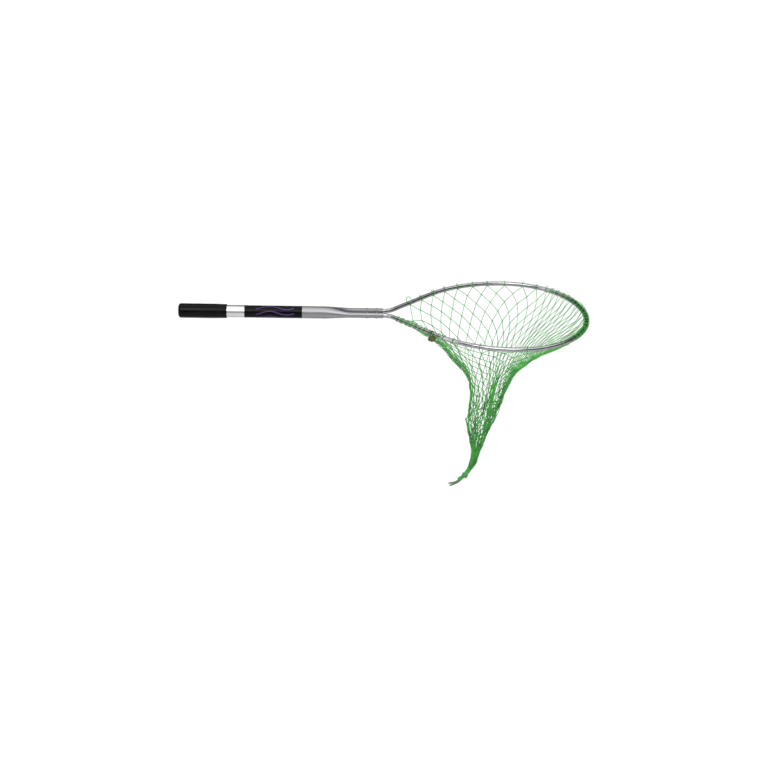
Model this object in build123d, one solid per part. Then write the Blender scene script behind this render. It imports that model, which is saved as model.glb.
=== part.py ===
from build123d import *
import os
from math import cos, degrees, hypot, pi, radians, sin, tan

# Landing net: a tube handle, a bent-rod hoop and a knotted bag that hangs from it.
# Frame: +X along the handle towards the hoop's nose, +Z up, the hoop flat at Z = 0, the bag below.
# The origin is on the handle's axis, in the middle of the grip's straight stretch.

# ---------------------------------------------------------------- driving dimensions (mm)
TUBE_R = 11.1              # 7/8 in handle tube
TUBE_WALL = 1.2
ROD_R = 3.97               # 5/16 in hoop rod
GAP = 0.02                 # radial gap of parts that are pressed or shrunk on

GRIP_R = 13.3
GRIP_R_FRONT = 12.8
GRIP_END_ROUND = 5.0
GRIP_END_WALL = 3.0
GRIP_STRAIGHT = 60.0
GRIP_LENGTH = 88.0
BAND_LENGTH = 32.0         # bare tube between the grip and the label
LABEL_LENGTH = 105.0
LABEL_WALL = 0.18
SOCKET_LENGTH = 57.0       # crushed stretch that holds the hoop's legs
CRUSH_LENGTH = 55.0        # from round to crushed
HANDLE_LENGTH = 373.0      # butt of the grip to the mouth of the socket

LEG_OFFSET = 8.8           # each leg's axis from the handle's axis
LOBE_JOIN = 115.0          # where a lobe meets the pinched web, in degrees from the far side
ROUND_JOIN = 54.0          # the same corner on the round tube
THROAT_BEND_R = 26.0
FLARE_ANGLE = 43.6         # how far each side turns out
FLARE_LENGTH = 98.0
SIDE_BEND_R = 202.0
NOSE_TURN_IN = 5.0         # heading at which the side arc hands over to the nose arc

RIVET_R = 1.5
RIVET_HEAD_R = 2.6
RIVET_HEAD_RISE = 1.1
RIVET_SET_BACK = (12.0, 29.5)   # from the mouth of the socket

TWINE_R = 0.55
MESH_COUNT = 46            # meshes threaded on the rod
NET_START = 31.0           # first mesh, from the mouth of the socket
BAG_WALL = 1.2             # stand-in thickness of the netting
BAG_TOP = 5.8              # the bag's top edge, below the hoop's plane
RING_POINTS = 24

# The bag's rings: depth below the hoop, centre X from the mouth of the socket, half length along X,
# half width along Y, and how round the ring is (0 is the hoop's own outline, 1 an ellipse).
FUNNEL_RINGS = (
    (22.0, 214.0, 156.0, 117.0, 0.3),
    (45.0, 212.0, 119.0, 90.0, 0.7),
    (75.0, 205.0, 84.0, 62.0, 1.0),
    (108.0, 204.0, 56.0, 42.0, 1.0),
)
NECK_RINGS = (
    (112.0, 204.0, 47.0, 34.5, 1.0),
    (130.0, 204.0, 41.5, 31.0, 1.0),
    (150.0, 203.0, 35.0, 26.0, 1.0),
    (200.0, 194.0, 30.0, 21.5, 1.0),
    (238.0, 189.0, 23.5, 17.0, 1.0),
)
TOE_RINGS = (
    (242.0, 189.0, 18.5, 13.0, 1.0),
    (262.0, 187.5, 15.8, 11.8, 1.0),
    (285.0, 187.0, 12.3, 9.5, 1.0),
    (303.0, 185.5, 9.8, 8.0, 1.0),
    (320.0, 182.0, 7.6, 6.8, 1.0),
    (337.0, 175.4, 5.7, 5.7, 1.0),
    (346.0, 168.5, 5.2, 5.2, 1.0),
)
BINDING_R = 6.2
BINDING_LENGTH = 6.0       # past the toe's end
BINDING_OVERLAP = 3.0      # on the toe itself
TIE_AT = 0.315             # the rim tie's place along the near side, as a share of its length
TIE_LOOP_R = 0.8
TIE_SIZE = (7.0, 4.6, 5.2)
TIE_OUT = 6.9
TIE_DROP = 8.2
# The drawstring's two free ends: points (X from the mouth, Y, Z), chosen by hand.
DRAWSTRING_R = 1.7
UPPER_END = ((164.8, 1.8, -350.85), (160.4, 1.9, -356.5), (154.2, 1.9, -361.6), (145.6, 2.0, -365.0),
             (136.6, 2.4, -367.4))
LOWER_END = ((164.8, -1.8, -350.85), (160.1, -1.9, -356.9), (154.0, -2.1, -362.8), (147.0, -2.0, -367.6),
             (139.6, -2.2, -371.6))

# ---------------------------------------------------------------- derived places
BUTT_X = -(GRIP_END_ROUND + GRIP_STRAIGHT / 2)
GRIP_FRONT_X = BUTT_X + GRIP_LENGTH
LABEL_X = GRIP_FRONT_X + BAND_LENGTH
MOUTH_X = BUTT_X + HANDLE_LENGTH
SOCKET_X = MOUTH_X - SOCKET_LENGTH
CRUSH_X = SOCKET_X - CRUSH_LENGTH
LOBE_R = ROD_R + GAP + TUBE_WALL
FLARE = radians(FLARE_ANGLE)
TURN_IN = radians(NOSE_TURN_IN)
NOSE_R = (
    LEG_OFFSET
    + THROAT_BEND_R * (1 - cos(FLARE))
    + FLARE_LENGTH * sin(FLARE)
    + SIDE_BEND_R * (cos(TURN_IN) - cos(FLARE))
) / cos(TURN_IN)


# ---------------------------------------------------------------- handle
def crushed_section(x, share, wall_in):
    """Outline of the tube at x: a circle at share 0, two lobes with a pinched web at share 1."""
    round_r = TUBE_R - wall_in
    lobe_r = LOBE_R - wall_in
    radius = round_r + (lobe_r - round_r) * share
    centre = LEG_OFFSET * share
    join = radians(ROUND_JOIN + (LOBE_JOIN - ROUND_JOIN) * share)
    join_y = centre + radius * cos(join)
    join_z = radius * sin(join)
    web_z = join_z - join_y * tan((join - pi / 2) / 2)
    far = ThreePointArc((x, join_y, join_z), (x, centre + radius, 0), (x, join_y, -join_z))
    under = ThreePointArc((x, join_y, -join_z), (x, 0, -web_z), (x, -join_y, -join_z))
    near = ThreePointArc((x, -join_y, -join_z), (x, -centre - radius, 0), (x, -join_y, join_z))
    over = ThreePointArc((x, -join_y, join_z), (x, 0, web_z), (x, join_y, join_z))
    return Wire([far, under, near, over])


def tube_body(wall_in, back_x):
    """The tube's outer shape, or its bore when wall_in is the wall."""
    steps = 4
    sections = []
    for step in range(steps + 1):
        share = step / steps
        smooth = share * share * (3 - 2 * share)
        sections.append(crushed_section(CRUSH_X + CRUSH_LENGTH * share, smooth, wall_in))
    crush = Solid.make_loft(sections)
    back = Solid.make_cylinder(TUBE_R - wall_in, CRUSH_X - back_x, Plane((back_x, 0, 0), z_dir=(1, 0, 0)))
    socket = extrude(Face(sections[-1]), SOCKET_LENGTH, dir=(1, 0, 0))
    return back + crush + socket


def rivet_places():
    return [(MOUTH_X - back, side) for back in RIVET_SET_BACK for side in (1, -1)]


def rivet_holes():
    holes = [Solid.make_cylinder(RIVET_R + GAP, 40, Plane((x, side * LEG_OFFSET, -20)))
             for x, side in rivet_places()]
    return Compound(holes)


def handle_tube():
    tube = tube_body(0, BUTT_X + GRIP_END_WALL) - tube_body(TUBE_WALL, BUTT_X + GRIP_END_WALL)
    return tube - rivet_holes()


def leg_rivets(outside):
    """Four domed rivets, one pair through each leg; the heads bed on the lobes."""
    rivets = []
    head_sphere_r = (RIVET_HEAD_R**2 + RIVET_HEAD_RISE**2) / (2 * RIVET_HEAD_RISE)
    for x, side in rivet_places():
        plane = Plane((x, side * LEG_OFFSET, 0))
        shank = Solid.make_cylinder(RIVET_R, 2 * LOBE_R, Plane((x, side * LEG_OFFSET, -LOBE_R)))
        head = Solid.make_cylinder(RIVET_HEAD_R, LOBE_R + RIVET_HEAD_RISE, plane)
        dome_z = LOBE_R + RIVET_HEAD_RISE - head_sphere_r
        dome = Solid.make_sphere(head_sphere_r, Plane((x, side * LEG_OFFSET, dome_z)))
        top = (head & dome) - outside
        rivets.append(shank + top + mirror(top, Plane.XY))
    return Compound(rivets)


def grip():
    end_r = GRIP_R - GRIP_END_ROUND
    straight_x = BUTT_X + GRIP_END_ROUND
    corner = GRIP_END_ROUND * (1 - cos(pi / 4))
    edge = 0.6
    bore = TUBE_R + GAP
    butt = ThreePointArc((BUTT_X, 0, end_r), (BUTT_X + corner, 0, GRIP_R - corner), (straight_x, 0, GRIP_R))
    rest = Polyline(
        (straight_x, 0, GRIP_R),
        (straight_x + GRIP_STRAIGHT, 0, GRIP_R),
        (GRIP_FRONT_X - edge, 0, GRIP_R_FRONT),
        (GRIP_FRONT_X, 0, GRIP_R_FRONT - edge),
        (GRIP_FRONT_X, 0, bore),
        (BUTT_X + GRIP_END_WALL, 0, bore),
        (BUTT_X + GRIP_END_WALL, 0, 0),
        (BUTT_X, 0, 0),
        (BUTT_X, 0, end_r),
    )
    return revolve(make_face(butt + rest), Axis.X)


def label_sleeve():
    start = Plane((LABEL_X, 0, 0), z_dir=(1, 0, 0))
    outside = Solid.make_cylinder(TUBE_R + GAP + LABEL_WALL, LABEL_LENGTH, start)
    return outside - Solid.make_cylinder(TUBE_R + GAP, LABEL_LENGTH, start)


# ---------------------------------------------------------------- hoop
def hoop_half():
    """One side of the hoop's middle line, from the leg's tip inside the socket to the nose."""
    leg = Line((SOCKET_X + 1, LEG_OFFSET), (MOUTH_X, LEG_OFFSET))
    bend = JernArc(leg @ 1, leg % 1, THROAT_BEND_R, FLARE_ANGLE)
    flare = Line(bend @ 1, (bend @ 1) + (bend % 1) * FLARE_LENGTH)
    side = JernArc(flare @ 1, flare % 1, SIDE_BEND_R, -(FLARE_ANGLE + NOSE_TURN_IN))
    nose = JernArc(side @ 1, side % 1, NOSE_R, -(90 - NOSE_TURN_IN))
    return Wire([leg, bend, flare, side, nose])


def hoop_rod(half):
    far = sweep(Plane(half @ 0, z_dir=half % 0) * Circle(ROD_R), path=half)
    rod = far + mirror(far, Plane.XZ)
    return rod - rivet_holes()


def rim_point(half, turn):
    """Point of the rim, and its heading, for a turn from the nose (0) round the far side (pi)."""
    along = 1 - abs(turn) / pi
    start = (SOCKET_LENGTH - 1 + NET_START + 4) / half.length
    place = start + (1 - start) * along
    point = half @ place
    heading = half % place
    side = 1 if turn >= 0 else -1
    return Vector(point.X, side * point.Y, 0), Vector(heading.X, side * heading.Y, 0)


# ---------------------------------------------------------------- net
def bag_ring(half, ring, shrink):
    """Closed ring of the bag, pulled in by shrink."""
    depth, centre, half_length, half_width, roundness = ring
    centre_x = MOUTH_X + centre
    rim_start = rim_point(half, pi)[0].X
    rim_end = rim_point(half, 0)[0].X
    rim_centre = (rim_start + rim_end) / 2
    rim_half = (rim_end - rim_start) / 2
    rim_width = max(rim_point(half, pi * step / 40)[0].Y for step in range(40))
    points = []
    for step in range(RING_POINTS):
        turn = (step + 0.5) * 2 * pi / RING_POINTS
        if turn > pi:
            turn -= 2 * pi
        rim = rim_point(half, turn)[0]
        share_x = (1 - roundness) * (rim.X - rim_centre) / rim_half + roundness * cos(turn)
        share_y = (1 - roundness) * rim.Y / rim_width + roundness * sin(turn)
        x = centre_x + (half_length - shrink) * share_x
        y = (half_width - shrink) * share_y
        points.append((x, y, -depth))
    return Wire([Spline(*points, periodic=True)])


def bag_shell(half, rings, walled=True):
    outside = Solid.make_loft([bag_ring(half, ring, 0) for ring in rings])
    if not walled:
        return outside
    return outside - Solid.make_loft([bag_ring(half, ring, BAG_WALL) for ring in rings])


def rim_ring(half):
    """The bag's top ring, which follows the hoop itself."""
    start = rim_point(half, pi)[0].X
    end = rim_point(half, 0)[0].X
    width = max(rim_point(half, pi * step / 40)[0].Y for step in range(40))
    return (BAG_TOP, (start + end) / 2 - MOUTH_X, (end - start) / 2, width, 0.0)


def rim_meshes(half):
    """Each mesh of the top row goes once round the rod as a loop of twine."""
    loops = []
    for count in range(MESH_COUNT):
        turn = (count + 0.5) * 2 * pi / MESH_COUNT - pi
        point, heading = rim_point(half, turn)
        loops.append(Solid.make_torus(ROD_R + TWINE_R + GAP, TWINE_R, Plane(point, z_dir=heading)))
    return Compound(loops)


def rim_tie(half, rod):
    """A knotted tie under the near side of the rim, with its loop round the rod."""
    place = half @ TIE_AT
    heading = half % TIE_AT
    heading = Vector(heading.X, -heading.Y, 0)
    outward = Vector(heading.Y, -heading.X, 0)
    loop = Solid.make_torus(ROD_R + TIE_LOOP_R, TIE_LOOP_R, Plane((place.X, -place.Y, 0), z_dir=heading))
    centre = Vector(place.X, -place.Y, 0) + outward * TIE_OUT - Vector(0, 0, TIE_DROP)
    knot = scale(Solid.make_sphere(1), TIE_SIZE)
    knot = Plane(centre, x_dir=heading, z_dir=(0, 0, 1)) * knot
    return (loop + knot) - rod


def toe_end():
    """Place and direction of the toe's gathered end."""
    last, before = TOE_RINGS[-1], TOE_RINGS[-2]
    end = Vector(MOUTH_X + last[1], 0, -last[0])
    start = Vector(MOUTH_X + before[1], 0, -before[0])
    return end, (end - start).normalized()


def toe_binding(toe):
    """The drawstring's turns round the gathered end of the toe."""
    end, heading = toe_end()
    start = end - heading * BINDING_OVERLAP
    return Solid.make_cylinder(BINDING_R, BINDING_LENGTH + BINDING_OVERLAP, Plane(start, z_dir=heading)) - toe


def cord_path(points):
    """Straight runs joined by tangent arcs, nearly as large as the runs allow."""
    places = [Vector(MOUTH_X + x, y, z) for x, y, z in points]
    edges = []
    last = places[0]
    radii = []
    for before, corner, after in zip(places, places[1:], places[2:]):
        back = (before - corner).normalized()
        on = (after - corner).normalized()
        half_turn = radians(180 - back.get_angle(on)) / 2
        setback = 0.45 * min((corner - before).length, (after - corner).length)
        radius = setback / tan(half_turn)
        radii.append(round(radius, 1))
        arc_start = corner + back * setback
        arc_end = corner + on * setback
        middle_way = (back + on).normalized()
        centre = corner + middle_way * hypot(setback, radius)
        middle = centre - middle_way * radius
        edges.append(Edge.make_line(last, arc_start))
        edges.append(Edge.make_three_point_arc(arc_start, middle, arc_end))
        last = arc_end
    edges.append(Edge.make_line(last, places[-1]))
    print("bend radii", radii)
    return Wire(edges)


def drawstring_end(points):
    path = cord_path(points)
    cord = sweep(Plane(path @ 0, z_dir=path % 0) * Circle(DRAWSTRING_R), path=path)
    share = cord.volume / (pi * DRAWSTRING_R**2 * path.length)
    print("cord length", round(path.length, 1), "volume over section times length", round(share, 3))
    return cord


# ---------------------------------------------------------------- write the parts
half = hoop_half()
rod = hoop_rod(half)
tube = handle_tube()
toe = bag_shell(half, TOE_RINGS, walled=False)
parts = {
    "handle_tube": tube,
    "grip": grip(),
    "label_sleeve": label_sleeve(),
    "hoop_rod": rod,
    "leg_rivets": leg_rivets(tube_body(0, CRUSH_X - 1)),
    "rim_meshes": rim_meshes(half),
    "rim_tie": rim_tie(half, rod),
    "bag_funnel": bag_shell(half, (rim_ring(half),) + FUNNEL_RINGS),
    "bag_neck": bag_shell(half, NECK_RINGS),
    "bag_toe": toe,
    "toe_binding": toe_binding(toe),
    "drawstring_upper": drawstring_end(UPPER_END),
    "drawstring_lower": drawstring_end(LOWER_END),
}
os.makedirs("parts", exist_ok=True)
for name, shape in parts.items():
    export_step(shape, f"parts/{name}.step")
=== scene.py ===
from math import cos, pi, radians, sin, sqrt

import bpy
import numpy as np
from mathutils import Matrix, Vector
from mathutils.bvhtree import BVHTree


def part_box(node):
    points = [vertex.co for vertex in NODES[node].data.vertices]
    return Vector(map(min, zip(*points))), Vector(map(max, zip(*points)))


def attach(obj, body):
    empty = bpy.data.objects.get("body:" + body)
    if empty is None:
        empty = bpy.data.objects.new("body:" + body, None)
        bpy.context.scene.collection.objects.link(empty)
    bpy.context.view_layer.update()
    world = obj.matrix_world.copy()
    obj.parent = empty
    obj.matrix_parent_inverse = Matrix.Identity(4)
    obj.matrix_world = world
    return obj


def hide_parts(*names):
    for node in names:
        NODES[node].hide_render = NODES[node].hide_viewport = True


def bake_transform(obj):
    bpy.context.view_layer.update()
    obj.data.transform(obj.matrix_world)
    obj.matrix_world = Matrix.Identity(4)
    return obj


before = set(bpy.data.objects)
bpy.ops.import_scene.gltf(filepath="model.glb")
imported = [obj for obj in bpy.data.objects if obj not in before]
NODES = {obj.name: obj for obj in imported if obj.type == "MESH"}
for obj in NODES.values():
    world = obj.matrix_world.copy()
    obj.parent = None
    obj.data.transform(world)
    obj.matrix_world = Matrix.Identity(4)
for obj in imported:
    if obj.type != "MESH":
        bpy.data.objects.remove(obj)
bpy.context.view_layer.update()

UP = np.array((0, 0, 1.0))
ACROSS = np.array((0, 1.0, 0))                # level, square to the handle
rng = np.random.default_rng(7)

# ---------------------------------------------------------------- sizes, in metres
MOUTH_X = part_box("handle_tube")[1].x          # mouth of the crushed socket
BUTT_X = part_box("grip")[0].x
ROD_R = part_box("hoop_rod")[1].z
LEG_OFFSET = 0.0088                           # from the handle's axis to each leg, at the mouth
THROAT_BEND_R = 0.026
FLARE = radians(43.6)                         # how far each leg turns outwards
FLARE_LENGTH = 0.098
SIDE_BEND_R = 0.202
TURN_IN = radians(5.0)                        # how far each side has turned in where the nose begins

TWINE_R = 0.00056
KNOT_R = 0.0011                               # from a knot's middle to its outermost turn
BAR = 0.022                                   # one side of a mesh
TOP_BAR_SHARE = 0.57                          # a top bar's share of the gap between two loops, if longer
ROWS = 20
TOE_ROWS = 4                                  # rows gathered in the toe
NET_END = 0.344                               # the deepest that a row's own depth goes
# Where the top meshes sit on the rod, as they have slid: (side, from, to, count), along from the mouth.
RIM_GROUPS = (
    (1, 0.064, 0.341, 10),                    # far side, evenly spread
    (1, 0.362, 0.490, 11),                    # bunched at the nose
    (-1, 0.488, 0.388, 10),                   # the same on the near side
    (-1, 0.362, 0.160, 4),                    # near side, stretched wide
    (-1, 0.140, 0.032, 11),                   # bunched near the handle
)

CORD_R = 0.0017                               # the drawstring
# The drawstring's two free ends, from the toe outwards: X from the mouth, Y and Z.
UPPER_END = ((0.1648, 0.0018, -0.35085), (0.1602, 0.0018, -0.3570), (0.1540, 0.0018, -0.3624),
             (0.1460, 0.0018, -0.3660), (0.1366, 0.0020, -0.3674))
LOWER_END = ((0.1648, -0.0018, -0.35085), (0.1602, -0.0018, -0.3570), (0.1542, -0.0018, -0.3628),
             (0.1470, -0.0018, -0.3668), (0.1386, -0.0019, -0.3706))


# ---------------------------------------------------------------- camera
def make_camera():
    """The photograph's viewpoint: above the hoop's plane, looking across the handle."""
    turn, down, roll = radians(1.8), radians(28.5), radians(1.6)
    distance = 2.6                            # to the butt, along the view
    butt_across, butt_up = -0.3745, 0.1342    # the butt's place from the view's middle line
    forward = Vector((sin(turn) * cos(down), cos(turn) * cos(down), -sin(down)))
    level_right = Vector((cos(turn), -sin(turn), 0))
    level_up = level_right.cross(forward)
    right = level_right * cos(roll) + level_up * sin(roll)
    up = level_up * cos(roll) - level_right * sin(roll)
    place = Vector((BUTT_X, 0, 0)) - forward * distance - right * butt_across - up * butt_up
    data = bpy.data.cameras.new("camera")
    data.sensor_width = 36
    data.lens = 66.84375
    camera = bpy.data.objects.new("camera", data)
    camera.matrix_world = Matrix((
        (right.x, up.x, -forward.x, place.x),
        (right.y, up.y, -forward.y, place.y),
        (right.z, up.z, -forward.z, place.z),
        (0, 0, 0, 1),
    ))
    bpy.context.scene.collection.objects.link(camera)
    bpy.context.scene.camera = camera


make_camera()


# ---------------------------------------------------------------- mesh helpers
def unit(v):
    return v / np.maximum(np.linalg.norm(v, axis=-1, keepdims=True), 1e-12)


def ring_places(middle, first, second, turn, radius):
    """Places at a turn and radius round a middle, in the plane of two directions."""
    return middle + first * (np.cos(turn) * radius)[:, None] + second * (np.sin(turn) * radius)[:, None]


def tubes(lines, radius, sides=6):
    """Tubes along lines of shape (count, points, 3): corners, side faces, end faces and side UVs."""
    lines = np.asarray(lines, float)
    count, steps = lines.shape[:2]
    tangent = unit(np.gradient(lines, axis=1))
    across = np.zeros_like(lines)
    seldom_followed = np.array((0.31, 0.74, 0.59))
    across[:, 0] = unit(np.cross(tangent[:, 0], seldom_followed))
    for k in range(1, steps):
        leaning = (across[:, k - 1] * tangent[:, k]).sum(-1, keepdims=True)
        across[:, k] = unit(across[:, k - 1] - leaning * tangent[:, k])
    over = np.cross(tangent, across)
    turn = np.arange(sides) * 2 * pi / sides
    spread = np.broadcast_to(np.asarray(radius, float), (count, steps))[..., None, None]
    ring = across[:, :, None] * np.cos(turn)[:, None] + over[:, :, None] * np.sin(turn)[:, None]
    corners = (lines[:, :, None] + ring * spread).reshape(-1, 3)

    index = np.arange(count * steps * sides).reshape(count, steps, sides)
    a, b = index[:, :-1], index[:, 1:]
    side_faces = np.stack([a, np.roll(a, -1, 2), np.roll(b, -1, 2), b], -1).reshape(-1, 4)
    end_faces = np.concatenate([index[:, 0, ::-1], index[:, -1]])

    run = np.cumsum(np.linalg.norm(np.diff(lines, axis=1), axis=-1), axis=1)
    run = np.concatenate([np.zeros((count, 1)), run], axis=1)
    u0 = np.broadcast_to(np.arange(sides) / sides, (count, steps - 1, sides))
    u1 = u0 + 1 / sides
    v0 = np.broadcast_to(run[:, :-1, None], u0.shape)
    v1 = np.broadcast_to(run[:, 1:, None], u0.shape)
    uvs = np.stack([np.stack([u0, v0], -1), np.stack([u1, v0], -1),
                    np.stack([u1, v1], -1), np.stack([u0, v1], -1)], 3).reshape(-1, 2)
    return corners, side_faces, end_faces, uvs


def mesh_object(name, parts, material):
    """One object from several tubes() results."""
    corners, faces, uvs, start = [], [], [], 0
    for part_corners, side_faces, end_faces, side_uvs in parts:
        corners.append(part_corners)
        faces.extend((side_faces + start).tolist())
        faces.extend((end_faces + start).tolist())
        uvs.append(side_uvs)
        uvs.append(np.zeros((end_faces.size, 2)))
        start += len(part_corners)
    mesh = bpy.data.meshes.new(name)
    mesh.from_pydata(np.concatenate(corners).tolist(), [], faces)
    layer = mesh.uv_layers.new(name="along")
    layer.data.foreach_set("uv", np.concatenate(uvs).astype(np.float32).ravel())
    mesh.polygons.foreach_set("use_smooth", np.ones(len(mesh.polygons), bool))
    mesh.materials.append(material)
    obj = bpy.data.objects.new(name, mesh)
    bpy.context.scene.collection.objects.link(obj)
    return obj


# ---------------------------------------------------------------- material helpers
class Paint:
    """A principled material with short ways to add its nodes."""

    def __init__(self, name, color, roughness, metallic=0.0, **sockets):
        self.material = bpy.data.materials.new(name)
        self.material.use_nodes = True
        self.tree = self.material.node_tree
        self.shader = self.tree.nodes["Principled BSDF"]
        self.shader.inputs["Base Color"].default_value = (*color, 1)
        self.shader.inputs["Roughness"].default_value = roughness
        self.shader.inputs["Metallic"].default_value = metallic
        for socket, value in sockets.items():
            self.shader.inputs[socket.replace("_", " ")].default_value = value
        coordinates = self.node("ShaderNodeTexCoord")
        self.object_place = coordinates.outputs["Object"]
        self.uv = coordinates.outputs["UV"]

    def node(self, kind, **values):
        made = self.tree.nodes.new(kind)
        for name, value in values.items():
            if name in made.inputs.keys():
                made.inputs[name].default_value = value
            else:
                setattr(made, name, value)
        return made

    def link(self, output, socket):
        self.tree.links.new(output, socket)

    def split(self, vector):
        """The X, Y and Z of a vector."""
        parts = self.node("ShaderNodeSeparateXYZ")
        self.link(vector, parts.inputs[0])
        return parts.outputs["X"], parts.outputs["Y"], parts.outputs["Z"]

    def stretched(self, scale):
        mapping = self.node("ShaderNodeMapping", Scale=scale)
        self.link(self.object_place, mapping.inputs["Vector"])
        return mapping.outputs["Vector"]

    def noise(self, scale, detail=4.0, source=None):
        noise = self.node("ShaderNodeTexNoise", Scale=scale, Detail=detail)
        self.link(source or self.object_place, noise.inputs["Vector"])
        return noise.outputs["Fac"]

    def ramp(self, value, stops):
        ramp = self.node("ShaderNodeValToRGB")
        elements = ramp.color_ramp.elements
        while len(elements) < len(stops):
            elements.new(0.5)
        for element, (place, color) in zip(elements, stops):
            element.position = place
            element.color = (*color, 1)
        self.link(value, ramp.inputs["Fac"])
        return ramp.outputs["Color"]

    def math(self, operation, first, second=0.0):
        node = self.node("ShaderNodeMath", operation=operation)
        for value, socket in zip((first, second), node.inputs):
            if isinstance(value, (int, float)):
                socket.default_value = value
            else:
                self.link(value, socket)
        return node.outputs["Value"]

    def mix(self, share, first, second):
        """The first colour at share 0 and the second at share 1."""
        node = self.node("ShaderNodeMix", data_type="RGBA")
        share_socket, first_socket, second_socket = node.inputs[0], node.inputs[6], node.inputs[7]
        self.link(share, share_socket)
        for value, socket in ((first, first_socket), (second, second_socket)):
            if isinstance(value, tuple):
                socket.default_value = (*value, 1)
            else:
                self.link(value, socket)
        return node.outputs[2]

    def color(self, output):
        self.link(output, self.shader.inputs["Base Color"])

    def roughness(self, value, low, high):
        spread = self.node("ShaderNodeMapRange")
        spread.inputs["To Min"].default_value = low
        spread.inputs["To Max"].default_value = high
        self.link(value, spread.inputs["Value"])
        self.link(spread.outputs["Result"], self.shader.inputs["Roughness"])

    def bump(self, height, strength, distance):
        bump = self.node("ShaderNodeBump", Strength=strength, Distance=distance)
        self.link(height, bump.inputs["Height"])
        self.link(bump.outputs["Normal"], self.shader.inputs["Normal"])


# ---------------------------------------------------------------- materials
def twine_material(name, dark, middle, light, plies, pitch, depth, roughness):
    """Laid or braided twine: each ply runs once round the cord in each pitch, with painted shade darkening
    the grooves between the plies.
    """
    paint = Paint(name, middle, roughness, Sheen_Weight=0.2)
    round_cord, along_cord, _ = paint.split(paint.uv)
    round_share = paint.math("MULTIPLY", round_cord, plies)
    twist = paint.math("ADD", round_share, paint.math("MULTIPLY", along_cord, plies / pitch))
    wave = paint.math("SINE", paint.math("MULTIPLY", twist, 2 * pi))
    lay = paint.math("ADD", paint.math("MULTIPLY", wave, 0.5), 0.5)
    patch = paint.noise(45.0, 3.0)
    fibre = paint.noise(900.0, 2.0)
    tone = paint.math("ADD", paint.math("MULTIPLY", patch, 0.75), paint.math("MULTIPLY", fibre, 0.25))
    base = paint.ramp(tone, ((0.3, dark), (0.5, middle), (0.72, light)))
    # painted shade: the grooves between the plies are darkened towards the dark colour
    painted_groove_shade = paint.math("MULTIPLY", paint.math("SUBTRACT", 1.0, lay), 0.5)
    paint.color(paint.mix(painted_groove_shade, base, dark))
    paint.bump(paint.math("ADD", lay, paint.math("MULTIPLY", fibre, 0.3)), 0.8, depth)
    return paint.material


def tube_material():
    """Drawn aluminium, brighter and smoother on the bare band beside the grip."""
    paint = Paint("drawn_aluminium", (0.45, 0.45, 0.47), 0.3, 1.0, Specular_Tint=(0.3, 0.3, 0.31, 1))
    streaks = paint.noise(1.0, 5.0, paint.stretched((14, 700, 700)))
    clouds = paint.noise(30.0, 3.0)
    satin = paint.ramp(streaks, ((0.3, (0.23, 0.23, 0.24)), (0.7, (0.34, 0.34, 0.355))))
    along, _, _ = paint.split(paint.object_place)
    band = paint.math("LESS_THAN", along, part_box("label_sleeve")[0].x)
    paint.color(paint.mix(band, satin, (0.56, 0.56, 0.57)))
    mottled = paint.math("ADD", paint.math("MULTIPLY", streaks, 0.6), paint.math("MULTIPLY", clouds, 0.4))
    paint.roughness(paint.math("SUBTRACT", mottled, paint.math("MULTIPLY", band, 0.5)), 0.34, 0.58)
    paint.bump(streaks, 0.15, 0.0002)
    return paint.material


def rod_material():
    """Polished rod, a little clouded."""
    paint = Paint("polished_rod", (0.34, 0.34, 0.35), 0.1, 1.0, Specular_Tint=(0.3, 0.3, 0.31, 1))
    clouds = paint.noise(120.0, 6.0)
    paint.color(paint.ramp(clouds, ((0.3, (0.28, 0.28, 0.29)), (0.7, (0.4, 0.4, 0.41)))))
    paint.roughness(clouds, 0.06, 0.2)
    paint.bump(clouds, 0.05, 0.0001)
    return paint.material


def rivet_material():
    """Scuffed rivet heads."""
    paint = Paint("rivet_heads", (0.3, 0.3, 0.31), 0.25, 1.0)
    scuffs = paint.noise(900.0, 4.0)
    paint.color(paint.ramp(scuffs, ((0.35, (0.16, 0.16, 0.17)), (0.65, (0.42, 0.42, 0.43)))))
    paint.roughness(scuffs, 0.18, 0.4)
    paint.bump(scuffs, 0.2, 0.0002)
    return paint.material


def grip_material():
    """Black dipped vinyl with a faint orange peel."""
    paint = Paint("dipped_vinyl", (0.003, 0.003, 0.0035), 0.3, Specular_IOR_Level=0.07)
    orange_peel = paint.noise(420.0, 3.0)
    clouds = paint.noise(35.0, 3.0)
    paint.color(paint.ramp(clouds, ((0.3, (0.002, 0.002, 0.0025)), (0.7, (0.005, 0.005, 0.0055)))))
    paint.roughness(clouds, 0.14, 0.3)
    paint.bump(orange_peel, 0.25, 0.0002)
    return paint.material


def label_material():
    """Glossy black film with a plain printed ripple."""
    film = (0.003, 0.0025, 0.004)
    paint = Paint("printed_film", film, 0.2, Specular_IOR_Level=0.08)
    x, y, z = paint.split(paint.object_place)
    low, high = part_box("label_sleeve")
    along = paint.math("DIVIDE", paint.math("SUBTRACT", x, low.x), high.x - low.x)
    round_turn = paint.math("ARCTAN2", z, paint.math("MULTIPLY", y, -1.0))
    swing = paint.math("SINE", paint.math("MULTIPLY", along, 3.4 * pi))
    ripple = paint.math("ADD", round_turn, paint.math("MULTIPLY", swing, 0.3))
    lines = paint.math("SINE", paint.math("MULTIPLY", ripple, 7.0))
    after_start = paint.math("GREATER_THAN", along, 0.2)
    before_end = paint.math("LESS_THAN", along, 0.86)
    inside = paint.math("MULTIPLY", after_start, before_end)
    printed = paint.math("MULTIPLY", paint.math("GREATER_THAN", lines, 0.78), inside)
    ink = paint.mix(along, (0.05, 0.03, 0.09), (0.085, 0.05, 0.16))
    paint.color(paint.mix(printed, film, ink))
    paint.roughness(paint.noise(60.0), 0.14, 0.3)
    return paint.material


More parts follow.
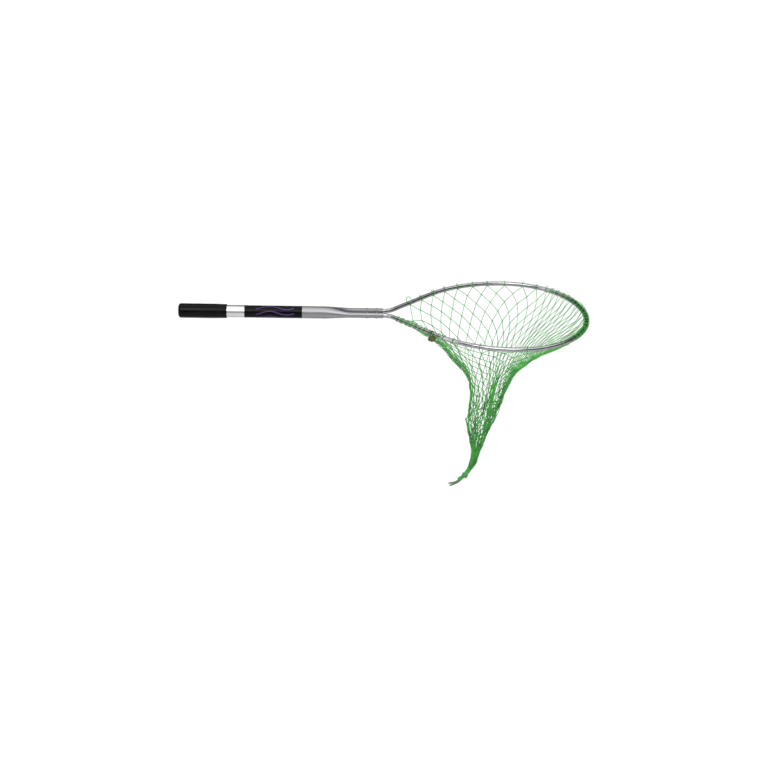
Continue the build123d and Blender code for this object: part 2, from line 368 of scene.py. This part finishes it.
NET_TWINE = twine_material("net_twine", (0.012, 0.18, 0.012), (0.03, 0.46, 0.026), (0.13, 0.72, 0.07),
                           plies=3, pitch=0.0035, depth=0.0002, roughness=0.62)
DRAWSTRING = twine_material("drawstring_cord", (0.04, 0.12, 0.045), (0.11, 0.27, 0.115), (0.24, 0.42, 0.24),
                            plies=8, pitch=0.012, depth=0.0004, roughness=0.7)
TIE_TWINE = twine_material("tie_twine", (0.016, 0.034, 0.002), (0.055, 0.075, 0.003), (0.3, 0.19, 0.01),
                           plies=3, pitch=0.004, depth=0.0002, roughness=0.5)


def paint_cad():
    """Gives each CAD node that stays in sight its own material."""
    finishes = {"handle_tube": tube_material, "leg_rivets": rivet_material, "hoop_rod": rod_material,
                "grip": grip_material, "label_sleeve": label_material}
    for node, make_material in finishes.items():
        NODES[node].data.materials.clear()
        NODES[node].data.materials.append(make_material())


paint_cad()


# ---------------------------------------------------------------- the rim's line
def rim_table():
    """Distance along, X, Y and heading of the far side's middle line, from the mouth to the nose."""
    nose_r = (LEG_OFFSET + THROAT_BEND_R * (1 - cos(FLARE)) + FLARE_LENGTH * sin(FLARE)
              + SIDE_BEND_R * (cos(TURN_IN) - cos(FLARE))) / cos(TURN_IN)
    lengths = (THROAT_BEND_R * FLARE, FLARE_LENGTH, SIDE_BEND_R * (FLARE + TURN_IN),
               nose_r * (pi / 2 - TURN_IN))
    ends = np.concatenate([[0], np.cumsum(lengths)])
    along = np.linspace(0, ends[-1], 4001)
    heading = np.interp(along, ends, (0, FLARE, FLARE, -TURN_IN, -pi / 2))
    step = along[1] - along[0]

    def travelled(share):
        return np.concatenate([[0], np.cumsum((share[1:] + share[:-1]) / 2 * step)])

    return along, MOUTH_X + travelled(np.cos(heading)), LEG_OFFSET + travelled(np.sin(heading)), heading


RIM = rim_table()


def rim_point(side, along):
    """Place on the rod's middle line, the direction along it and the level direction inwards."""
    x, y, heading = (np.interp(along, RIM[0], column) for column in RIM[1:])
    place = np.array((x, side * y, 0.0))
    ahead = np.array((cos(heading), side * sin(heading), 0.0))
    inwards = np.array((sin(heading), -side * cos(heading), 0.0))
    return place, ahead, inwards


# ---------------------------------------------------------------- the bag's outer shape
DEPTHS = np.linspace(0.008, NET_END, 43)
ANGLES = np.arange(48) * 2 * pi / 48 - pi
BEFORE_BAG_X, PAST_BAG_X = 0, 1.2             # clear of the bag at both ends
BESIDE_BAG = 0.5                              # from the bag's middle to clear of its side


def bag_table():
    """Middle X at each depth, and the bag's radius at each depth and angle, from the CAD shells."""
    graph = bpy.context.evaluated_depsgraph_get()
    shells = [BVHTree.FromObject(NODES[name], graph) for name in ("bag_funnel", "bag_neck", "bag_toe")]

    def reach(origin, way):
        hits = [shell.ray_cast(origin, way)[0] for shell in shells]
        found = [hit for hit in hits if hit is not None]
        return min(found, key=lambda hit: (hit - origin).length) if found else None

    def smooth(values):
        ends = np.pad(values, 1, mode="reflect", reflect_type="odd")
        return np.convolve(ends, np.ones(3) / 3, "valid")

    known, middles, radii = [], [], []
    for depth in DEPTHS:
        left = reach(Vector((BEFORE_BAG_X, 0, -depth)), Vector((1, 0, 0)))
        if left is None:                      # between two shells, where a hinge leaves a gap
            continue
        right = reach(Vector((PAST_BAG_X, 0, -depth)), Vector((-1, 0, 0)))
        middle = (left.x + right.x) / 2
        centre = Vector((middle, 0, -depth))
        ways = [Vector((cos(angle), sin(angle), 0)) for angle in ANGLES]
        known.append(depth)
        middles.append(middle)
        radii.append([(reach(centre + way * BESIDE_BAG, -way) - centre).length for way in ways])
    columns = [middles] + list(np.array(radii).T)
    middle, *radius = [smooth(np.interp(DEPTHS, known, column)) for column in columns]
    return middle, np.stack(radius, 1)


BAG_MIDDLE, BAG_RADIUS = bag_table()


def bag_middle(depth):
    return np.interp(depth, DEPTHS, BAG_MIDDLE)


def bag_radius(depth, angle):
    """The bag's radius between the table's rows and columns."""
    row = np.clip((depth - DEPTHS[0]) / (DEPTHS[1] - DEPTHS[0]), 0, len(DEPTHS) - 1.001)
    low = row.astype(int)
    down = row - low
    column = (angle + pi) / (2 * pi) * len(ANGLES) % len(ANGLES)
    left = column.astype(int) % len(ANGLES)
    right = (left + 1) % len(ANGLES)
    along = column - column.astype(int)

    def at(chosen):
        return BAG_RADIUS[chosen, left] * (1 - along) + BAG_RADIUS[chosen, right] * along

    return at(low) * (1 - down) + at(low + 1) * down


# ---------------------------------------------------------------- the toe's line
TOE_DEPTHS = (0.303, 0.320, 0.337, 0.346)     # the toe's middle line and radius, down to its end
TOE_MIDDLES = tuple(MOUTH_X + along for along in (0.1855, 0.1820, 0.1754, 0.1685))
TOE_RADII = (0.0080, 0.0068, 0.0057, 0.0050)
TOE_END = np.array((TOE_MIDDLES[-1], 0, -TOE_DEPTHS[-1]))
TOE_HEADING = unit(TOE_END - np.array((TOE_MIDDLES[-2], 0, -TOE_DEPTHS[-2])))
TOE_LINE_FROM = 0.285                         # depth where the net starts to follow this line


def toe_ring(angle, radius):
    """Places of the last row, inside the drawstring's turns."""
    inside_turns = TOE_END + TOE_HEADING * 0.0025
    return ring_places(inside_turns, np.cross(TOE_HEADING, ACROSS), ACROSS, angle, radius)


# ---------------------------------------------------------------- the hanging net
def wrapped(angle):
    return (angle + pi) % (2 * pi) - pi


def loop_places():
    """Side and distance along the rod of each top mesh, a little uneven within its group."""
    places = []
    for side, start, end, count in RIM_GROUPS:
        spots = np.linspace(start, end, count)
        spots[1:-1] += rng.normal(0, 0.1, count - 2) * abs(spots[1] - spots[0])
        places += [(side, spot) for spot in spots]
    return places


class Net:
    """Knots in rows, joined by bars: even and odd rows are half a mesh apart."""

    def __init__(self):
        self.loops = loop_places()
        self.count = len(self.loops)
        anchors = np.array([rim_point(side, along)[0] for side, along in self.loops])
        anchors[:, 2] = -ROD_R - 0.001        # just under the rod
        self.to_next = np.linalg.norm(np.roll(anchors, -1, 0) - anchors, axis=1)
        self.spacing = (self.to_next + np.roll(self.to_next, 1)) / 2
        self.knots = np.concatenate([anchors] + self.lower_rows(anchors))
        self.start = np.arange(ROWS + 1) * self.count
        self.row_of = np.repeat(np.arange(ROWS + 1), self.count)
        self.bars = np.array(self.find_bars())

    def lower_rows(self, anchors):
        """Rows 1 to ROWS on the bag: under their loops at the top, evenly spread lower down."""
        fan_middle = bag_middle(0.1)          # the top rows fan out round the bag's middle at this depth
        crowded = np.arctan2(anchors[:, 1], anchors[:, 0] - fan_middle)
        half_step = wrapped(np.roll(crowded, -1) - crowded) / 2
        even = crowded[0] - np.arange(self.count) * 2 * pi / self.count
        even = crowded + wrapped(even - crowded)
        folded = 0.85 * np.sqrt(rng.uniform(0.15, 1, self.count))     # shares of the toe's radius
        growth = 1.08                         # rows lie a little closer together at the top
        rows = []
        for row in range(1, ROWS + 1):
            odd = row % 2
            level = NET_END * (row / ROWS) ** growth
            uneven = np.interp(row / ROWS, (0, 0.2, 0.5, 0.9, 1), (0, 0.0015, 0.006, 0.006, 0.001))
            depth = np.minimum(level + rng.normal(0, uneven, self.count), NET_END)
            angle = crowded + half_step * odd
            spread = np.interp(level, (0.15, 0.30), (0, 1))
            angle = angle + spread * (even - odd * pi / self.count - angle)
            if row == ROWS:
                rows.append(toe_ring(angle, TOE_RADII[-1] * folded))
                continue
            middle, radius = bag_middle(depth), bag_radius(depth, angle)
            if row > ROWS - TOE_ROWS:
                near_end = np.interp(depth, (TOE_LINE_FROM, TOE_DEPTHS[0]), (0, 1))
                middle = middle + near_end * (np.interp(depth, TOE_DEPTHS, TOE_MIDDLES) - middle)
                radius = (radius + near_end * (np.interp(depth, TOE_DEPTHS, TOE_RADII) - radius)) * folded
            rows.append(np.stack([middle + radius * np.cos(angle), radius * np.sin(angle), -depth], 1))
        return rows

    def find_bars(self):
        """Upper and lower knot of each bar: every knot hangs on two in the row above."""
        bars = []
        for row in range(ROWS):
            step = 1 if row % 2 == 0 else -1
            for k in range(self.count):
                for up in (k, (k + step) % self.count):
                    bars.append((self.start[row] + up, self.start[row + 1] + k))
        return bars

    def hang(self, rounds=260, passes=10):
        """Lets the knots hang: bars can't grow past their length, and folds keep the bag's girth."""
        kept_motion, fall, eagerness = 0.85, np.array((0, 0, -0.00035)), 1.2
        place, last = self.knots.copy(), self.knots.copy()
        fixed = (self.row_of == 0) | (self.row_of > ROWS - TOE_ROWS)
        free = ~fixed
        upper, lower = self.bars.T
        upper_share = np.where(fixed[upper], 0.0, np.where(fixed[lower], 1.0, 0.5))
        lower_share = np.where(fixed[lower], 0.0, np.where(fixed[upper], 1.0, 0.5))
        longest = np.full(len(self.bars), BAR)
        top = self.row_of[upper] == 0         # these also have to span the gap between two loops
        longest[top] = np.maximum(BAR, TOP_BAR_SHARE * self.to_next[lower[top] - self.start[1]])
        half_bars = np.bincount(self.bars.ravel()) / 2
        own_height = self.knots[:, 2].copy()
        most_drop = np.interp(self.row_of / ROWS, (0, 0.25, 0.5, 1), (0.03, 0.016, 0.008, 0.0))
        most_rise = 0.02
        folding = np.interp(-place[:, 2], (0, 0.16, 0.30), (0.12, 0.2, 0.7))
        fill = 1 - folding * rng.random(len(place))
        for _ in range(rounds):
            drift = (place - last) * kept_motion
            last = place.copy()
            place[free] += drift[free] + fall
            for _ in range(passes):
                gap = place[lower] - place[upper]
                length = np.linalg.norm(gap, axis=1)
                pull = gap * (np.maximum(length - longest, 0) / np.maximum(length, 1e-9))[:, None]
                move = np.zeros_like(place)
                for axis in range(3):
                    down = np.bincount(upper, pull[:, axis] * upper_share, len(place))
                    up = np.bincount(lower, pull[:, axis] * lower_share, len(place))
                    move[:, axis] = down - up
                place += move / half_bars[:, None] * eagerness
            place[free, 2] = np.clip(place[:, 2], own_height - most_drop, own_height + most_rise)[free]
            self.keep_in_bag(place, free, fill)
        self.knots = place

    def keep_in_bag(self, place, free, fill):
        """Moves free knots in or out from the bag's middle, to between their own fill and its wall."""
        some_play = 0.97                      # even for a knot that fills the bag
        depth = np.clip(-place[:, 2], DEPTHS[0], DEPTHS[-1])
        middle = bag_middle(depth)
        dx = place[:, 0] - middle
        radius = np.hypot(dx, place[:, 1])
        wall = bag_radius(depth, np.arctan2(place[:, 1], dx))
        wanted = np.clip(radius, wall * fill * some_play, wall)
        scale = np.where(radius > 1e-6, wanted / np.maximum(radius, 1e-6), 1)
        place[free, 0] = (middle + dx * scale)[free]
        place[free, 1] = (place[:, 1] * scale)[free]


net = Net()
net.hang()


def bowed(start, end, steps, bar):
    """Bars from start to end of shape (count, 3), bowed by part of the length they have to spare."""
    share_used, wander = 0.8, 0.55
    span = end - start
    length = np.linalg.norm(span, axis=1, keepdims=True)
    slack = np.maximum(bar - length, 0)
    bow = np.sqrt(3 / 8 * length * slack) * share_used
    way = rng.normal(0, wander, span.shape) - UP
    way -= (way * unit(span)).sum(1, keepdims=True) * unit(span)
    most = np.interp(-start[:, 2:], (0.05, 0.15, 0.25), (0.0035, 0.0022, 0.0012))
    side = unit(way) * np.minimum(bow, most)
    share = np.linspace(0, 1, steps)[None, :, None]
    return start[:, None] + span[:, None] * share + side[:, None] * (4 * share * (1 - share))


def knot_lines(places):
    """Small tangled loops, one round each crossing."""
    turn = np.linspace(0, 2 * pi, 19)
    curl = np.stack([np.sin(turn) + 2 * np.sin(2 * turn), np.cos(turn) - 2 * np.cos(2 * turn),
                     -1.4 * np.sin(3 * turn)], 1) * KNOT_R / 3
    axes, _ = np.linalg.qr(rng.normal(0, 1, (len(places), 3, 3)))
    return places[:, None] + np.einsum("nij,kj->nki", axes, curl)


SPLIT_DEPTH = 0.178                           # between the upper and the lower piece of netting


def build_net():
    """All bars below the top ones, and a knot where they meet, down to the last row but one."""
    bars = net.bars[net.row_of[net.bars[:, 0]] > 0]
    start, end = net.knots[bars[:, 0]], net.knots[bars[:, 1]]
    upper = -(start[:, 2] + end[:, 2]) / 2 < SPLIT_DEPTH
    knots = net.knots[(net.row_of > 0) & (net.row_of < ROWS)]
    knot_upper = -knots[:, 2] < SPLIT_DEPTH
    pieces = {}
    for name, own_bars, own_knots in (("net_upper", upper, knot_upper), ("net_lower", ~upper, ~knot_upper)):
        strands = tubes(bowed(start[own_bars], end[own_bars], 8, BAR), TWINE_R)
        ties = tubes(knot_lines(knots[own_knots]), TWINE_R, 5)
        pieces[name] = mesh_object(name, [strands, ties], NET_TWINE)
    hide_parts("bag_funnel", "bag_neck")
    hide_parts("bag_toe")
    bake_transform(pieces["net_upper"])
    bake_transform(pieces["net_lower"])


def straight(start, end):
    """Places along a straight strand."""
    share = np.linspace(0, 1, 7)[:, None]
    return start + (end - start) * share


def build_rim_loops():
    """Each top mesh goes up from one knot, over the rod and down to the next."""
    clear = ROD_R + TWINE_R + 0.0001          # from the rod's middle to the twine's
    least_slack, more_slack = 0.0009, 0.0026
    near, often = 0.015, 0.7                  # loops this near each other often go round twice
    single_width, double_width = 0.0011, 0.0034               # half of a wrap's width along the rod
    lines = []
    first = net.start[1]
    for k, (side, along) in enumerate(net.loops):
        place, ahead, inwards = rim_point(side, along)
        before = net.knots[first + (k - 1) % net.count]
        after = net.knots[first + k]
        looseness = 1.35 if k == 0 else rng.random()      # the first loop stands up from the rod
        slack = least_slack + more_slack * looseness ** 3
        doubled = net.spacing[k] < near and rng.random() < often
        turns, width = (2, double_width) if doubled else (1, single_width)
        turn = np.radians(np.linspace(-55, 360 * turns - 65, 36))
        radius = clear + slack * np.clip(np.sin(turn + rng.normal(0, 0.3)), 0, 1)
        advance = np.linspace(-1, 1, len(turn)) * width
        direction = ahead * (1 if (after - before) @ ahead > 0 else -1)
        wrap = ring_places(place, inwards, UP, turn, radius) + direction * advance[:, None]
        lines.append(np.concatenate([straight(before, wrap[0])[:-1], wrap, straight(wrap[-1], after)[1:]]))
    loops = mesh_object("net_rim_loops", [tubes(lines, TWINE_R)], NET_TWINE)
    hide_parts("rim_meshes")
    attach(loops, "root")


def build_toe_tuft():
    """The last meshes, pulled together and standing past the drawstring's turns."""
    count = 26
    start_r, bulge, loop_width, golden_angle = 0.0024, 0.7, 0.0013, 2.4
    start = TOE_END + TOE_HEADING * 0.0035
    ahead = unit(np.array((-0.75, 0, -0.66)))
    over = np.cross(ahead, ACROSS)
    turn = np.linspace(0, pi, 12)[:, None]
    lines = []
    for k in range(count):
        angle = k * golden_angle + rng.normal(0, 0.2)
        spread = start_r * sqrt((k + 3) / (count + 3))
        length = rng.uniform(0.008, 0.0145)
        out = ACROSS * cos(angle) + over * sin(angle)
        side = ACROSS * -sin(angle) + over * cos(angle)
        lines.append(start + out * spread * (1 + bulge * np.sin(turn)) + ahead * length * np.sin(turn)
                     + side * loop_width * np.cos(turn))
    tuft = mesh_object("net_toe_tuft", [tubes(lines, TWINE_R * 1.1)], NET_TWINE)
    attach(tuft, "toe")


build_net()
build_rim_loops()
build_toe_tuft()


# ---------------------------------------------------------------- the toe's drawstring
def nurbs_line(points):
    """Points read from a smooth curve that follows the route."""
    data = bpy.data.curves.new("route", "CURVE")
    data.dimensions = "3D"
    data.resolution_u = 10
    spline = data.splines.new("NURBS")
    spline.points.add(len(points) - 1)
    for target, point in zip(spline.points, points):
        target.co = (*point, 1)
    spline.order_u = 3
    spline.use_endpoint_u = True
    obj = bpy.data.objects.new("route", data)
    bpy.context.scene.collection.objects.link(obj)
    mesh = bpy.data.meshes.new_from_object(obj)
    line = np.array([v.co for v in mesh.vertices])
    bpy.data.objects.remove(obj)
    return line


def drawstring_end(name, node, route):
    points = [(MOUTH_X + x, y, z) for x, y, z in route]
    line = nurbs_line(points)
    rounded_tip = np.array((0.99, 0.94, 0.82, 0.5))
    radius = np.full(len(line), CORD_R)
    radius[-len(rounded_tip):] = CORD_R * rounded_tip
    cord = mesh_object(name, [tubes(line[None], radius[None], 12)], DRAWSTRING)
    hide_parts(node)
    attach(cord, "toe")


drawstring_end("drawstring_end_upper", "drawstring_upper", UPPER_END)
drawstring_end("drawstring_end_lower", "drawstring_lower", LOWER_END)


def build_binding():
    """The drawstring's turns round the toe, inside the binding's CAD solid."""
    solid_r, solid_length, past_toe_end, margin = 0.0062, 0.009, 0.006, 0.0001
    turns, steps = 2.6, 70
    over = np.cross(TOE_HEADING, ACROSS)
    share = np.linspace(0, 1, steps)
    pitch = solid_length - 2 * CORD_R
    start = TOE_END + TOE_HEADING * past_toe_end - TOE_HEADING * (CORD_R + margin)
    middle = start - TOE_HEADING * (share * pitch)[:, None]
    line = ring_places(middle, ACROSS, over, share * turns * 2 * pi, solid_r - CORD_R)
    binding = mesh_object("toe_wraps", [tubes(line[None], CORD_R, 12)], DRAWSTRING)
    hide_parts("toe_binding")
    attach(binding, "toe")


build_binding()


# ---------------------------------------------------------------- the rim tie
def build_rim_tie():
    """Twine wound in a small ball under the near rim, with a strap round the rod."""
    low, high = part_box("rim_tie")
    centre = np.array(((low.x + high.x) / 2 + 0.0015, low.y + 0.0062, low.z + 0.0066))
    half_size = np.array((0.0071, 0.0045, 0.0054)) * 0.92
    winds, tilts = 17, 3.3
    wound_r, strap_r = 0.0009, 0.0005         # the ball's twine, and the strap's
    share = np.linspace(0, 1, 420)
    turn, tilt = share * 2 * pi * winds, share * 2 * pi * tilts
    ball = np.stack([np.cos(turn) * np.cos(tilt), np.sin(turn), np.cos(turn) * np.sin(tilt)], 1)
    wound = centre + ball * half_size

    near = np.argmin(np.abs(RIM[1] - centre[0]))
    place, ahead, inwards = rim_point(-1, RIM[0][near])
    strap_turn = np.linspace(0, 2 * pi, 60) * 1.5
    advance = np.linspace(-0.0012, 0.0012, len(strap_turn))
    strap = ring_places(place, inwards, UP, strap_turn, ROD_R + 0.0008) + ahead * advance[:, None]

    knot = [tubes(wound[None], wound_r, 7), tubes(strap[None], strap_r, 7)]
    tie = mesh_object("rim_tie_knot", knot, TIE_TWINE)
    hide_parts("rim_tie")
    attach(tie, "root")


build_rim_tie()


# ---------------------------------------------------------------- stage and light
def build_stage():
    """A plain pale floor, well below the net."""
    half, z = 30.0, -0.75
    mesh = bpy.data.meshes.new("floor")
    mesh.from_pydata([(-half, -half, z), (half, -half, z), (half, half, z), (-half, half, z)],
                     [], [(0, 1, 2, 3)])
    floor = bpy.data.objects.new("floor", mesh)
    bpy.context.scene.collection.objects.link(floor)
    mesh.materials.append(Paint("pale_floor", (0.9, 0.9, 0.9), 0.9).material)


def sun_light(name, way, power, angle):
    data = bpy.data.lights.new(name, "SUN")
    data.energy = power
    data.angle = angle
    light = bpy.data.objects.new(name, data)
    light.rotation_euler = Vector(way).to_track_quat("-Z", "Y").to_euler()
    bpy.context.scene.collection.objects.link(light)


def area_light(name, place, target, size, power):
    data = bpy.data.lights.new(name, "AREA")
    data.shape = "RECTANGLE"
    data.size, data.size_y = size
    data.energy = power
    light = bpy.data.objects.new(name, data)
    light.location = place
    light.rotation_euler = (Vector(target) - Vector(place)).to_track_quat("-Z", "Y").to_euler()
    bpy.context.scene.collection.objects.link(light)


def build_world():
    """A bright ceiling over darker walls, plain white where the camera sees it."""
    world = bpy.data.worlds.new("studio")
    world.use_nodes = True
    nodes, link = world.node_tree.nodes, world.node_tree.links.new
    room, backdrop = nodes["Background"], nodes.new("ShaderNodeBackground")
    for background in (room, backdrop):
        background.inputs["Color"].default_value = (1, 1, 1, 1)
    parts = nodes.new("ShaderNodeSeparateXYZ")
    height = nodes.new("ShaderNodeMapRange")
    height.interpolation_type = "SMOOTHSTEP"
    for name, value in (("From Min", 0.62), ("From Max", 0.82), ("To Min", 0.07), ("To Max", 1.75)):
        height.inputs[name].default_value = value
    link(nodes.new("ShaderNodeTexCoord").outputs["Generated"], parts.inputs[0])
    link(parts.outputs["Z"], height.inputs["Value"])
    link(height.outputs["Result"], room.inputs["Strength"])
    shown = nodes.new("ShaderNodeMixShader")
    link(nodes.new("ShaderNodeLightPath").outputs["Is Camera Ray"], shown.inputs[0])
    link(room.outputs[0], shown.inputs[1])
    link(backdrop.outputs[0], shown.inputs[2])
    link(shown.outputs[0], nodes["World Output"].inputs["Surface"])
    bpy.context.scene.world = world


build_stage()
build_world()
sun_light("key", (0.12, 0.62, -0.72), 1.15, radians(40))
area_light("left_softbox", (-1.5, -1.2, 0.8), (0.3, 0, 0), (0.8, 1.2), 8)
area_light("grip_glint", (-0.195, -1.05, 1.07), (-0.025, 0, 0.01), (0.03, 0.03), 1.2)
bpy.context.scene.view_settings.view_transform = "Standard"
